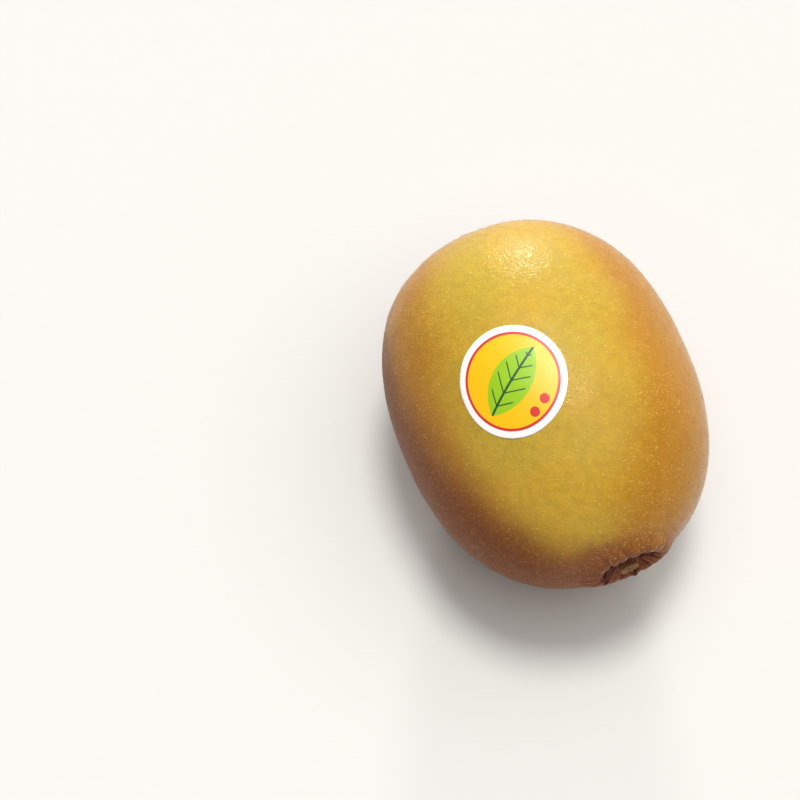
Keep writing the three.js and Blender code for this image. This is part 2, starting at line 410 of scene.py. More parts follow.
def ripened(m, place):
    """The skin's broad colours, gold, tan and bronze, partly its own and partly painted light and shade,
    and how bronzed each place is.
    """
    look = settings("skin")
    from_axis = add_node(m, "VectorMath", [place, fruit_middle() / MM], operation="SUBTRACT")
    broad = add_node(m, "TexNoise", {"Vector": place, "Scale": 1 / 13, "Detail": 5, "Roughness": 0.6})

    # The gold stripe on the upper side is partly painted light, and the tan it fades to on the flanks is
    # partly painted shade.
    inputs = {"Vector": from_axis, "Angle": STRIPE_SKEW}
    across = add_node(m, "VectorRotate", inputs, rotation_type="Z_AXIS")
    across = add_node(m, "VectorMath", [across, (1 / STRIPE_STRETCH, 1, 1)], operation="MULTIPLY")
    across = add_node(m, "VectorMath", [across], operation="NORMALIZE")
    gold_and_light = add_node(m, "VectorMath", [across, GOLD_AND_LIGHT_SIDE], **ALONG)
    gold_and_light = add_node(m, "Math", [broad, STRIPE_RAGGEDNESS, gold_and_light], operation="MULTIPLY_ADD")
    gold_and_light = add_node(m, "MapRange", [gold_and_light, *STRIPE_EDGE, 0, 1], **SMOOTH)
    colour = add_node(m, "Mix", {0: gold_and_light, 6: look.tan, 7: look.gold}, **COLOURS)
    patches = add_node(m, "TexNoise", {"Vector": place, "Scale": 1 / 15, "Detail": 3})
    green = add_node(m, "MapRange", [patches, 0.4, 0.65, 0, OLIVE_SHARE], **SMOOTH)
    green = add_node(m, "Math", [green, gold_and_light], operation="MULTIPLY")
    colour = add_node(m, "Mix", {0: green, 6: colour, 7: look.olive}, **COLOURS)

    # Painted shade as well as the skin's own bronze: the underside, the flank turned from the lamps and the
    # side turned from the lit skin are bronzed.
    bronze_and_shade = add_node(m, "VectorMath", [from_axis, BRONZE_AND_SHADE_SIDE], **ALONG)
    bronze_and_shade = add_node(m, "Math", [broad, BRONZE_RAGGEDNESS, bronze_and_shade], operation="MULTIPLY_ADD")
    bronze_and_shade = add_node(m, "MapRange", [bronze_and_shade, *BRONZE_AND_SHADE_EDGE, 0, 1], **SMOOTH)
    sunny = add_node(m, "VectorMath", [from_axis, SUNNY_SIDE], **ALONG)
    sunny = add_node(m, "Math", [broad, -BRONZE_RAGGEDNESS, sunny], operation="MULTIPLY_ADD")
    shaded = add_node(m, "MapRange", [sunny, *SHADE_EDGE, SHADE_SHARE, 0], **SMOOTH)
    bronze_and_shade = add_node(m, "Math", [bronze_and_shade, shaded], operation="MAXIMUM")
    return add_node(m, "Mix", {0: bronze_and_shade, 6: colour, 7: look.bronze_and_shade}, **COLOURS), bronze_and_shade


STAIN_RAGGEDNESS = 7.0  # millimetres by which noise shifts the stains' edges


def stained(m, place, colour):
    """Browns the skin round the stalk, and a little at the blossom end; the wide rose stain round the
    collar is partly real staining and partly painted shade on the flank beside the stem end.
    """
    look = settings("skin")
    blotches = add_node(m, "TexNoise", {"Vector": place, "Scale": 1 / 2.6, "Detail": 5, "Roughness": 0.7})
    stains = (
        # This rose stain is wide and leans to -Y as painted shade as well as a real stain.
        {"at": end_centre(1, -2.5), "reach": (11.3, 18), "strength": 0.9, "colour": look.collar_rose_and_shade},
        {"at": end_centre(1, -0.5), "reach": (8.5, 13), "strength": 0.75, "colour": look.stem_brown},
        {"at": end_centre(-1), "reach": (5.5, 12), "strength": 0.8, "colour": look.stem_brown},
    )
    for s in stains:
        away = add_node(m, "VectorMath", {0: place, 1: s["at"]}, **DISTANCE)
        ragged = add_node(m, "Math", [blotches, STAIN_RAGGEDNESS, away], operation="MULTIPLY_ADD")
        share_stained = add_node(m, "MapRange", [ragged, *s["reach"], s["strength"], 0], **SMOOTH)
        colour = add_node(m, "Mix", {0: share_stained, 6: colour, 7: s["colour"]}, **COLOURS)
    return colour


LENTICEL_SPACING = 0.9  # millimetres, a little coarser than the real ones so that they show
LENTICEL_RADIUS = 0.14  # of the largest, as a share of their spacing
LENTICEL_BLUR = 0.06  # of their edge, as such a share


def lenticels(m, place):
    """Pale round dots of uneven size."""
    dots = {"Vector": place, "Scale": 1 / LENTICEL_SPACING}
    distance_off = add_node(m, "TexVoronoi", dots, output="Distance")
    draw = add_node(m, "TexVoronoi", dots, output="Color")
    chance = add_node(m, "SeparateColor", [draw])
    size = add_node(m, "MapRange", [chance, 0.1, 1, 0.0, LENTICEL_RADIUS], **SMOOTH)
    outside = add_node(m, "Math", [distance_off, size], operation="SUBTRACT")
    return add_node(m, "MapRange", [outside, -LENTICEL_BLUR, LENTICEL_BLUR, 1, 0], **SMOOTH)


def hair_scars(m, place):
    """Short faint dashes round the fruit, where hairs lie flat or have been brushed off.

    The real ones are finer. These are about 0.3 mm wide, so that they show.
    """
    streaks = add_node(m, "Mapping", {"Vector": place, "Scale": (1.2, 0.7, 0.7)})
    spots = add_node(m, "TexNoise", {"Vector": streaks, "Scale": 1 / 0.34, "Detail": 1})
    return add_node(m, "MapRange", [spots, 0.55, 0.77, 0, 0.8], **SMOOTH)


FLECK_SHARE = 0.64  # how much the flecks show on the gold
FLECK_FADE = 0.3  # how much less on the bronze and its painted shade
CREASE_SHARE = 0.55  # how much darker the creases are made
PORE_SIZE = 0.75  # millimetres: the real pores are finer, and are drawn this coarse so that they show
PORE_RELIEF = 0.15 * MM
FLECK_RELIEF = 0.09 * MM
SATIN = (0.27, 0.18)  # roughness of the gold, from the mottling's dark spots to its pale ones
BRONZE_ROUGHNESS = 0.25  # how much rougher the skin is where it is bronze and painted shade


def skin_material():
    """Fruit skin, thin and leathery: satin, unevenly ripened with painted light and shade in its broad
    colours, finely flecked, stained at its ends.
    """
    look = settings("skin")
    m = new_material("kiwifruit_skin")
    place = place_in_mm(m)
    colour, bronze_and_shade = ripened(m, place)
    colour = stained(m, place, colour)

    # The skin's cells make a soft mottling about a millimetre across.
    mottle = add_node(m, "TexNoise", {"Vector": place, "Scale": 1 / 1.6, "Detail": 4, "Roughness": 0.6})
    value = add_node(m, "MapRange", [mottle, 0.3, 0.7, 0.93, 1.06], **SMOOTH)
    colour = add_node(m, "HueSaturation", {"Value": value, "Color": colour})

    dots = lenticels(m, place)
    dashes = hair_scars(m, place)
    flecks = add_node(m, "Math", [dots, dashes], operation="MAXIMUM")
    showing = add_node(m, "Math", [bronze_and_shade, -FLECK_FADE, FLECK_SHARE], operation="MULTIPLY_ADD")
    fleck_share = add_node(m, "Math", [flecks, showing], operation="MULTIPLY")
    colour = add_node(m, "Mix", {0: fleck_share, 6: colour, 7: look.fleck}, **COLOURS)

    # The creases between the puckers are made darker.
    crease = add_node(m, "Attribute", output="Fac", attribute_name="crease")
    crease_darkening = add_node(m, "Math", [crease, CREASE_SHARE], operation="MULTIPLY")
    colour = add_node(m, "Mix", {0: crease_darkening, 6: colour, 7: look.crease}, **COLOURS)

    inputs = {"Vector": place, "Scale": 1 / PORE_SIZE, "Detail": 3, "Roughness": 0.6}
    pores = add_node(m, "TexNoise", inputs)
    raised = add_node(m, "Math", [flecks, FLECK_RELIEF], operation="MULTIPLY")
    relief = add_node(m, "Math", [pores, PORE_RELIEF, raised], operation="MULTIPLY_ADD")
    satin = add_node(m, "MapRange", [mottle, 0.3, 0.7, *SATIN], **SMOOTH)
    roughness = add_node(m, "Math", [bronze_and_shade, BRONZE_ROUGHNESS, satin], operation="MULTIPLY_ADD")
    inputs = {
        "Base Color": colour,
        "Roughness": roughness,
        "IOR": 1.45,
        "Specular IOR Level": 0.2,
        "Subsurface Weight": 0.12,
        "Subsurface Radius": (1.0, 0.45, 0.12),
        "Subsurface Scale": 0.8 * MM,
        "Sheen Weight": 0.02,
        "Sheen Roughness": 0.45,
        "Sheen Tint": linear("#E8B878"),
    }
    return finish_material(m, relief, inputs)


def bristle_material():
    """Dry plant hair: dull straw, browner in the stain of the stem end."""
    look = settings("skin")
    m = new_material("plant_hair")
    place = place_in_mm(m)
    tone = add_node(m, "TexNoise", {"Vector": place, "Scale": 1 / 1.1, "Detail": 2})
    value = add_node(m, "MapRange", [tone, 0.3, 0.7, 0.75, 1.2], **SMOOTH)
    colour = add_node(m, "HueSaturation", {"Value": value, "Color": look.bristle})
    away = add_node(m, "VectorMath", {0: place, 1: end_centre(1)}, **DISTANCE)
    brown = add_node(m, "MapRange", [away, 4, 11, 0.6, 0], **SMOOTH)
    colour = add_node(m, "Mix", {0: brown, 6: colour, 7: look.stem_brown}, **COLOURS)
    relief = add_node(m, "Math", [tone, 0.01 * MM], operation="MULTIPLY")
    return finish_material(m, relief, {"Base Color": colour, "Roughness": 0.6, "Specular IOR Level": 0.15})


def two_tones(m, pattern, edge, dark, pale):
    """The colour where a pattern's value passes over an edge from dark to pale."""
    tone = add_node(m, "MapRange", [pattern, *edge, 0, 1], **SMOOTH)
    return add_node(m, "Mix", {0: tone, 6: linear(dark), 7: linear(pale)}, **COLOURS)


def stalk_material():
    """Dry woody stalk: matte, fibrous along its length, paler where it broke."""
    m = new_material("dry_stalk_wood")
    place = place_in_mm(m)
    along_fibres = add_node(m, "Mapping", {"Vector": place, "Scale": (0.5, 4, 4)})
    fibres = add_node(m, "TexNoise", {"Vector": along_fibres, "Scale": 1, "Detail": 3})
    colour = two_tones(m, fibres, (0.32, 0.68), "#4A2312", "#8E5C34")
    outward = add_node(m, "SeparateXYZ", [place], output="X")
    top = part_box("stem_stub")[1][0] / MM
    broken = add_node(m, "MapRange", [outward, top - 0.5, top + 0.1, 0, 0.65], **SMOOTH)
    colour = add_node(m, "Mix", {0: broken, 6: colour, 7: linear("#B98A55")}, **COLOURS)
    relief = add_node(m, "Math", [fibres, 0.16 * MM], operation="MULTIPLY")
    return finish_material(m, relief, {"Base Color": colour, "Roughness": 0.85})


def sepal_material():
    """Dried sepal: papery and dull, dark red-brown, with rust-coloured ridges along its length."""
    m = new_material("dried_sepal")
    spot = add_node(m, "UVMap", uv_map="blade")
    lengthwise = add_node(m, "Mapping", {"Vector": spot, "Scale": (9, 2.2, 1)})
    ridges = add_node(m, "TexNoise", {"Vector": lengthwise, "Scale": 1, "Detail": 4, "Roughness": 0.6})
    colour = two_tones(m, ridges, (0.38, 0.7), "#35130A", "#8C4A28")
    relief = add_node(m, "Math", [ridges, 0.16 * MM], operation="MULTIPLY")
    return finish_material(m, relief, {"Base Color": colour, "Roughness": 0.85, "Specular IOR Level": 0.25})


def style_material():
    """Withered style: brittle, nearly black, with browner tips."""
    m = new_material("withered_style")
    place = place_in_mm(m)
    spots = add_node(m, "TexNoise", {"Vector": place, "Scale": 1 / 0.4, "Detail": 3})
    colour = two_tones(m, spots, (0.35, 0.7), "#24140C", "#5F3D26")
    relief = add_node(m, "Math", [spots, 0.06 * MM], operation="MULTIPLY")
    return finish_material(m, relief, {"Base Color": colour, "Roughness": 0.8})


LEAF_LENGTH = 1.42  # as a share of half the label, like all sizes of its print
LEAF_WIDTH = 0.74
LEAF_TURN = math.radians(38)
LEAF_VEINS = 5.5  # side veins in that length
LEAF_MARGIN = 0.06  # bare of side veins
VEIN_SWEEP = 0.9  # how far forward the side veins run for each step outwards
PRINTED_DOTS = ((0.46, -0.5), (0.22, -0.66))  # right of and up from the label's middle
DOT_RADIUS = 0.09
RING_START = 0.83
RIM_START = 0.88
RIB_EDGE = (0.014, 0.03)  # off the leaf's middle line, over which its rib ends
VEIN_EDGE = (0.03, 0.09)  # the same for its side veins, as a share of their spacing
INK_EDGE = 0.008  # over which the ink fades out


def inked_leaf(m, spot):
    """Where the printed leaf is, and where its veins are."""
    upright = add_node(m, "VectorRotate", {"Vector": spot, "Angle": -LEAF_TURN}, rotation_type="Z_AXIS")
    along = add_node(m, "SeparateXYZ", [upright], output="X")
    side = add_node(m, "SeparateXYZ", [upright], output="Y")
    off_rib = add_node(m, "Math", [side], operation="ABSOLUTE")
    # Each edge is an arc through both tips.
    half, wide = LEAF_LENGTH / 2, LEAF_WIDTH / 2
    arc = (half**2 + wide**2) / (2 * wide)
    mirrored = add_node(m, "CombineXYZ", [along, off_rib, 0.0])
    from_centre = add_node(m, "VectorMath", {0: mirrored, 1: (0, wide - arc, 0)}, **DISTANCE)
    leaf = add_node(m, "MapRange", [from_centre, arc - INK_EDGE, arc + INK_EDGE, 1, 0], **SMOOTH)
    swept = add_node(m, "Math", [off_rib, -VEIN_SWEEP, along], operation="MULTIPLY_ADD")
    turns = add_node(m, "Math", [swept, LEAF_VEINS / LEAF_LENGTH], operation="MULTIPLY")
    share_off = add_node(m, "Math", [turns, 0.5], operation="PINGPONG")
    side_vein = add_node(m, "MapRange", [share_off, *VEIN_EDGE, 1, 0], **SMOOTH)
    inside = arc - LEAF_MARGIN
    inner = add_node(m, "MapRange", [from_centre, inside - 0.03, inside, 1, 0], **SMOOTH)
    side_vein = add_node(m, "Math", [side_vein, inner], operation="MULTIPLY")
    rib = add_node(m, "MapRange", [off_rib, *RIB_EDGE, 1, 0], **SMOOTH)
    veins = add_node(m, "Math", [side_vein, rib], operation="MAXIMUM")
    return leaf, add_node(m, "Math", [veins, leaf], operation="MULTIPLY")


def label_material():
    """Printed polypropylene film: smooth, softly glossy, in flat bright inks with a bare white rim."""
    look = settings("label")
    m = new_material("printed_label_film")
    spot = add_node(m, "UVMap", uv_map="print")
    spot = add_node(m, "Mapping", {"Vector": spot, "Location": (-1, -1, 0), "Scale": (2, 2, 1)})
    reach = add_node(m, "VectorMath", [spot], output="Value", operation="LENGTH")
    leaf, veins = inked_leaf(m, spot)
    colour = look.field
    for at in PRINTED_DOTS:
        away = add_node(m, "VectorMath", {0: spot, 1: (*at, 0)}, **DISTANCE)
        dot = add_node(m, "MapRange", [away, DOT_RADIUS - INK_EDGE, DOT_RADIUS + INK_EDGE, 1, 0], **SMOOTH)
        colour = add_node(m, "Mix", {0: dot, 6: colour, 7: look.ring}, **COLOURS)
    colour = add_node(m, "Mix", {0: leaf, 6: colour, 7: look.leaf}, **COLOURS)
    colour = add_node(m, "Mix", {0: veins, 6: colour, 7: look.vein}, **COLOURS)
    for start, code in ((RING_START, look.ring), (RIM_START, look.rim)):
        outside = add_node(m, "MapRange", [reach, start - INK_EDGE, start + INK_EDGE, 0, 1], **SMOOTH)
        colour = add_node(m, "Mix", {0: outside, 6: colour, 7: code}, **COLOURS)
    place = place_in_mm(m)
    ripples = add_node(m, "TexNoise", {"Vector": place, "Scale": 1 / 1.5, "Detail": 2})
    relief = add_node(m, "Math", [ripples, 0.03 * MM], operation="MULTIPLY")
    return finish_material(m, relief, {"Base Color": colour, "Roughness": 0.38, "IOR": 1.49})


WIDE_CREASES = {"count": 13, "stray": 2.2, "turn": 0, "radius": 5.6 * MM, "spread": 2.4 * MM}
FINE_CREASES = {"count": 31, "stray": 4, "turn": 1, "radius": 6.4 * MM, "spread": 3.2 * MM}
WIDE_DEPTH = 0.5  # millimetres
FINE_DEPTH = 0.22  # millimetres
BLOSSOM_DEPTH = 0.55  # depth of the blossom end's creases, against the stem end's
FINE_CREASE_DARKENING = 0.6  # darkening of the fine creases, against the wide ones
BLOSSOM_CREASE_DARKENING = 0.3  # darkening of the blossom end's creases, against the stem end's


def creased(kind, radius, angle, seed):
    """How deep each place lies in one of the creases that run out over an end, from 0 to 1."""
    drift = 0.5 * np.sin(2 * angle + seed) + 0.35 * np.sin(5 * angle + radius / (2 * MM) + seed)
    ridge = np.abs(np.sin((kind["count"] * angle + kind["stray"] * drift + kind["turn"] * seed) / 2))
    return (1 - ridge) ** 3 * bell(radius - kind["radius"], kind["spread"])


def unevenness(places):
    """The skin's dents, about 0.1 mm high and 9 mm wide, with others half as high between them."""
    return (0.10 * grain(places, 9 * MM, 1) + 0.05 * grain(places, 3.4 * MM, 2)) * MM


GRAIN_HEIGHT = 0.022  # millimetres, of the skin's fine grain
GRAIN_SIZE = 1.3 * MM


def grid_sphere(cuts):
    """A unit sphere of even quads: a cube whose faces are subdivided, one cut count after another."""
    begin()
    bpy.ops.mesh.primitive_cube_add(size=2)
    sphere = bpy.context.object
    bpy.ops.object.mode_set(mode="EDIT")
    bpy.ops.mesh.select_all(action="SELECT")
    for number in cuts:
        bpy.ops.mesh.subdivide(number_cuts=number)
    bpy.ops.object.mode_set(mode="OBJECT")
    places = np.tan(vertices_of(sphere) * math.pi / 4)
    move_vertices(sphere, places / np.linalg.norm(places, axis=1, keepdims=True))
    return sphere


def refine_cap(sphere, end, reach, cuts):
    """Cuts up the quads of a unit sphere that lie within an angle of one of its X poles."""
    bpy.ops.object.mode_set(mode="EDIT")
    bpy.ops.mesh.select_mode(type="FACE")
    bpy.ops.mesh.select_all(action="DESELECT")
    bpy.ops.object.mode_set(mode="OBJECT")
    nearest = math.cos(reach)
    for face in sphere.data.polygons:
        face.select = face.center.x * end > nearest
    bpy.ops.object.mode_set(mode="EDIT")
    bpy.ops.mesh.subdivide(number_cuts=cuts)
    bpy.ops.object.mode_set(mode="OBJECT")


class KIWIFRUIT_OT_skin(Operator):
    """Models the fruit's body with its puckered ends and its skin"""

    bl_idname = "kiwifruit.skin"
    bl_label = "Skin"

    def execute(self, context):
        skin = grid_sphere(cuts=(11, 8))
        refine_cap(skin, end=1, reach=0.36, cuts=2)
        refine_cap(skin, end=-1, reach=0.25, cuts=1)
        directions = vertices_of(skin)
        directions /= np.linalg.norm(directions, axis=1, keepdims=True)
        turn = np.arccos(np.clip(directions[:, 0], -1, 1))
        angle = np.arctan2(directions[:, 1], directions[:, 2])
        places = skin_points(turn, angle)
        move_vertices(skin, places)

        normals = read_all(skin.data.vertices, "normal")
        radius = np.hypot(places[:, 1], places[:, 2] - settings("body").axis_height)
        at_stem = places[:, 0] > 0
        seed = np.where(at_stem, 2, 0)
        wide = creased(WIDE_CREASES, radius, angle, seed)
        fine = creased(FINE_CREASES, radius, angle, seed)
        depth = np.where(at_stem, 1.0, BLOSSOM_DEPTH) * (WIDE_DEPTH * wide + FINE_DEPTH * fine)
        height = unevenness(places) + (GRAIN_HEIGHT * grain(places, GRAIN_SIZE, 3) - depth) * MM
        places += normals * height[:, None]
        places[:, 2] = np.maximum(places[:, 2], 0)
        move_vertices(skin, places + frame_shift())

        crease_darkening = np.clip(wide + FINE_CREASE_DARKENING * fine, 0, 1) * np.where(at_stem, 1, BLOSSOM_CREASE_DARKENING)
        crease = skin.data.attributes.new("crease", "FLOAT", "POINT")
        crease.data.foreach_set("value", crease_darkening.astype(np.float32))
        finish_piece(skin, "fruit_skin", skin_material(), "fruit")
        return {"FINISHED"}


def label_axes(x, angle):
    """How far points of the flank lie to the right of the label's middle, and how far up."""
    back = LABEL_X - x
    round_it = (angle - LABEL_ANGLE) * settings("body").height / 2
    right = -back * math.sin(LABEL_TURN) + round_it * math.cos(LABEL_TURN)
    return right, back * math.cos(LABEL_TURN) + round_it * math.sin(LABEL_TURN)


def single_bristle():
    """One hair, upright at the origin and 1 high: three-sided, and thinner above its middle."""
    begin()
    bpy.ops.mesh.primitive_cone_add(vertices=3, radius1=1, radius2=0, depth=1, location=(0, 0, 0.5))
    hair = bpy.context.object
    bpy.ops.object.mode_set(mode="EDIT")
    bpy.ops.mesh.select_all(action="SELECT")
    bpy.ops.mesh.bisect(plane_co=(0, 0, 0.45), plane_no=(0, 0, 1))
    bpy.ops.object.mode_set(mode="OBJECT")
    bpy.ops.object.transform_apply(location=True, rotation=False, scale=False)
    return hair


BRISTLE_LENGTHS = (0.25 * MM, 0.65 * MM)
BRISTLE_RADIUS = 0.03 * MM
BRISTLE_ROOT = 0.06 * MM  # how deep it stands in the skin
BRISTLE_JITTER = 0.2 * MM  # how far it stands off the middle of its face
BRISTLE_STRAY = 0.45  # how far it strays from the way that all are combed, as a slope
BRISTLE_DROOP = 0.35  # share of its height that it loses by bending over
BRISTLE_TAPER = 0.75
END_DENSITY = 5.0  # how many more bristles there are near the ends
END_REACH = 12 * MM  # how far from the axis the denser bristles reach
END_START = 20 * MM  # how far from the middle along X they begin
REST_HEIGHT = 0.8 * MM  # below it the fruit lies on the floor and is bare
UPPER_SIDE = 30 * MM  # the label is above it
LABEL_MARGIN = 1.06  # the bare patch's area, against the label's


def bristle_roots(skin, count, draw):
    """Places and outward directions for the bristles, more of them near the ends."""
    faces = skin.data.polygons
    centres = read_all(faces, "center")
    normals = read_all(faces, "normal")
    areas = read_all(faces, "area", 1)[:, 0]
    own = centres - frame_shift()
    radius = np.hypot(own[:, 1], own[:, 2] - settings("body").axis_height)
    near_end = bell(radius, END_REACH) * (np.abs(own[:, 0]) > END_START)
    angle = np.arctan2(own[:, 1], own[:, 2] - settings("body").axis_height)
    right, up = label_axes(own[:, 0], angle)
    look = settings("label")
    under_label = (2 * right / look.width) ** 2 + (2 * up / look.height) ** 2 < LABEL_MARGIN
    bare = (under_label & (own[:, 2] > UPPER_SIDE)) | (own[:, 2] < REST_HEIGHT)
    weights = np.where(bare, 0, areas * (1 + END_DENSITY * near_end))
    picked = draw.choice(len(faces), size=count, p=weights / weights.sum())
    jitter = draw.uniform(-BRISTLE_JITTER, BRISTLE_JITTER, (count, 3))
    normals = normals[picked]
    jitter -= normals * (jitter * normals).sum(axis=1, keepdims=True)
    return centres[picked] + jitter, normals


def copy_onto(template, roots, lengths, radii, directions, outwards):
    """One mesh of many bent copies of a hair that stands upright at the origin.

    A hair leaves its root along its outward direction and bends over towards the other.
    """
    shape = vertices_of(template)
    turned = np.cross(outwards, directions)
    turned /= np.linalg.norm(turned, axis=1, keepdims=True)
    flat = np.cross(turned, outwards)
    height = shape[:, 2]
    copies = roots[:, None] + lengths[:, None, None] * (
        outwards[:, None] * (height - BRISTLE_DROOP * height**2)[None, :, None]
        + directions[:, None] * (height**2)[None, :, None]
    )
    width = (1 - BRISTLE_TAPER * height)[None, :, None] * radii[:, None, None]
    copies += width * (turned[:, None] * shape[None, :, 0:1] + flat[:, None] * shape[None, :, 1:2])
    faces = [tuple(face.vertices) for face in template.data.polygons]
    every = [
        tuple(corner + start for corner in face)
        for start in range(0, len(roots) * len(shape), len(shape))
        for face in faces
    ]
    single = template.data
    template.data = bpy.data.meshes.new(template.name)
    template.data.from_pydata(copies.reshape(-1, 3).tolist(), [], every)
    bpy.data.meshes.remove(single)
    return template


class KIWIFRUIT_OT_bristles(Operator):
    """Sets short hairs all over the skin, thicker near its ends"""

    bl_idname = "kiwifruit.bristles"
    bl_label = "Bristles"

    def execute(self, context):
        draw = np.random.default_rng(11)
        count = settings("skin").bristles
        roots, outwards = bristle_roots(bpy.data.objects["fruit_skin"], count, draw)
        # They are combed towards the blossom end, and stray to both sides.
        combed = np.array([-1.0, 0, 0]) + draw.normal(0, BRISTLE_STRAY, (count, 3))
        combed -= outwards * (combed * outwards).sum(axis=1, keepdims=True)
        combed /= np.linalg.norm(combed, axis=1, keepdims=True)
        lengths = draw.uniform(*BRISTLE_LENGTHS, count)
        radii = BRISTLE_RADIUS * draw.uniform(0.7, 1.2, count)
        hairs = single_bristle()
        hairs = copy_onto(hairs, roots - outwards * BRISTLE_ROOT, lengths, radii, combed, outwards)
        finish_piece(hairs, "skin_bristles", bristle_material())
        return {"FINISHED"}


STUB_PROFILE = (  # share of the way from the middle of the broken end to that of the foot, radius, height
    (0, 0, 1.42),
    (0.14, 0.5, 1.4),
    (0.24, 0.9, 1.55),
    (0.32, 1.3, 1.85),
    (0.38, 1.6, 1.9),
    (0.44, 1.72, 1.7),
    (0.6, 1.68, 1.1),
    (0.72, 1.75, 0.5),
    (0.82, 2.05, 0.1),
    (0.9, 2.1, -0.45),
    (1, 0, -0.5),
)


STUB_GAP = 0.3 * MM  # from the skin to the stub's foot, the same as between their solids
SPLINTERS = 0.36  # share of the way down where the broken rim is most splintered


class KIWIFRUIT_OT_stub(Operator):
    """Models the broken stub of the stalk"""

    bl_idname = "kiwifruit.stub"
    bl_label = "Stalk Stub"

    def execute(self, context):
        begin()
        bpy.ops.mesh.primitive_uv_sphere_add(segments=96, ring_count=48, radius=1)
        stub = bpy.context.object
        # The sphere's own axis, Z, is laid along X.
        ball = np.roll(vertices_of(stub), 1, axis=1)
        share_down = np.arccos(np.clip(ball[:, 0], -1, 1)) / math.pi
        angle = np.arctan2(ball[:, 1], ball[:, 2])
        shares, radii, heights = np.array(STUB_PROFILE).T
        radius = np.interp(share_down, shares, radii)
        height = np.interp(share_down, shares, heights)
        # Five ridges and a finer fluting run down the stub.
        ridged = 1 + 0.03 * np.cos(5 * angle + 0.9 * np.sin(2 * angle)) + 0.015 * np.cos(13 * angle)
        rough = grain(ball, 0.22, 5)
        splinters = bell(share_down - SPLINTERS, 0.07) * (0.1 * np.cos(11 * angle) + 0.3 * rough)
        radius = radius * ridged * (1 + 0.05 * rough) * MM
        floor = pole(1, STUB_GAP)
        places = np.stack(
            [
                floor[0] + (height + splinters + 0.06 * rough) * MM,
                radius * np.sin(angle),
                radius * np.cos(angle) + settings("body").axis_height,
            ],
            axis=-1,
        )
        move_vertices(stub, places + frame_shift())
        finish_piece(stub, "stalk_stub", stalk_material(), "stem_stub")
        return {"FINISHED"}


SEPALS = 5
CALYX_TURN = 0.35  # angle of the middle of one sepal
SEPAL_ROOT = 2.2 * MM  # distance of the sepals' roots from the axis
SEPAL_REACH = 3.5 * MM  # length of a sepal
SEPAL_UNEVENNESS = 0.22
SEPAL_HALF_WIDTH = 1.45 * MM
SEPAL_THICKNESS = 0.14 * MM


def add_sepal(index, draw):
    """One dried sepal, which lies on the skin from under the stub outwards and curls up at its tip."""
    begin()
    bpy.ops.mesh.primitive_grid_add(x_subdivisions=14, y_subdivisions=20, size=2)
    sepal = bpy.context.object
    grid = vertices_of(sepal)
    across, along = grid[:, 0], (grid[:, 1] + 1) / 2
    middle = CALYX_TURN + 2 * math.pi * index / SEPALS + draw.uniform(-0.08, 0.08)
    curl = draw.uniform(0, 0.25)
    reach = SEPAL_REACH * (1 + SEPAL_UNEVENNESS * math.sin(2 * middle + 1))
    start = np.stack([across, along * 3, np.full_like(along, index * 7.0)], axis=-1)
    ragged = 1 + 0.16 * grain(start, 0.35, 6) + 0.12 * grain(start, 0.9, 7)
    half_width = SEPAL_HALF_WIDTH * np.sqrt(1.04 - along**1.8) * ragged
    radius = SEPAL_ROOT + reach * along * (1 - 0.12 * across**2) * (0.96 + 0.08 * ragged)
    angle = middle + across * half_width / radius
    # It rises and curls up towards its tip, cups along its edges, and is wrinkled.
    lift = 0.1 + 0.1 * along + curl * along**3 + 0.15 * (np.abs(across) * along) ** 2
    lift = lift + 0.12 * grain(start, 0.45, 8) * (0.3 + along) - 0.08 * np.cos(5 * across) * along
    set_uvs(sepal, "blade", (grid[:, :2] + 1) / 2 + (index, 0))
    move_vertices(sepal, end_points(1, radius, angle, lift * MM) + frame_shift())
    apply_modifier(sepal, "SOLIDIFY", thickness=SEPAL_THICKNESS, offset=0)
    apply_modifier(sepal, "SUBSURF", levels=1, render_levels=1)
    return sepal


class KIWIFRUIT_OT_calyx(Operator):
    """Models the dried sepals round the stub"""

    bl_idname = "kiwifruit.calyx"
    bl_label = "Calyx"

    def execute(self, context):
        draw = random.Random(5)
        material = sepal_material()
        for index in range(SEPALS):
            sepal = add_sepal(index, draw)
            finish_piece(sepal, f"sepal_{index + 1}", material, "calyx")
        return {"FINISHED"}


STYLE_ROWS = (  # each row's count, radius, lean and length
    {"count": 15, "radius": 1.1 * MM, "lean": 1.3, "length": 1.7 * MM},
    {"count": 9, "radius": 0.8 * MM, "lean": 1.1, "length": 1.2 * MM},
    {"count": 4, "radius": 0.3 * MM, "lean": 0.6, "length": 0.8 * MM},
)
STYLE_RADIUS = 0.17 * MM
STYLE_LIFT = 0.35 * MM  # from the skin to the styles' roots, inside the scar
SCAR_RADIUS = 2.0 * MM
SCAR_THICKNESS = 0.7 * MM  # to either side of its middle
SCAR_LIFT = 0.3 * MM  # from the skin to the scar's middle


def single_style():
    """One withered style, upright at the origin and 1 high, with a crooked tip."""
    begin()
    bpy.ops.curve.primitive_bezier_curve_add()
    curve = bpy.context.object
    foot, tip = curve.data.splines[0].bezier_points
    foot.co, foot.handle_left, foot.handle_right = (0, 0, 0), (0, 0, -0.3), (0, 0, 0.4)
    tip.co, tip.handle_left, tip.handle_right = (0, 0.22, 1), (0, -0.05, 0.75), (0, 0.5, 1.2)
    foot.radius, tip.radius = 1.5, 0.75
    curve.data.bevel_depth = STYLE_RADIUS / (2 * MM)
    curve.data.bevel_resolution = 1
    curve.data.resolution_u = 6
    curve.data.use_fill_caps = True
    bpy.ops.object.convert(target="MESH")
    bpy.ops.object.mode_set(mode="EDIT")
    bpy.ops.mesh.select_all(action="SELECT")
    bpy.ops.mesh.remove_doubles(threshold=1e-5)
    bpy.ops.mesh.normals_make_consistent()
    bpy.ops.object.mode_set(mode="OBJECT")
    return bpy.context.object


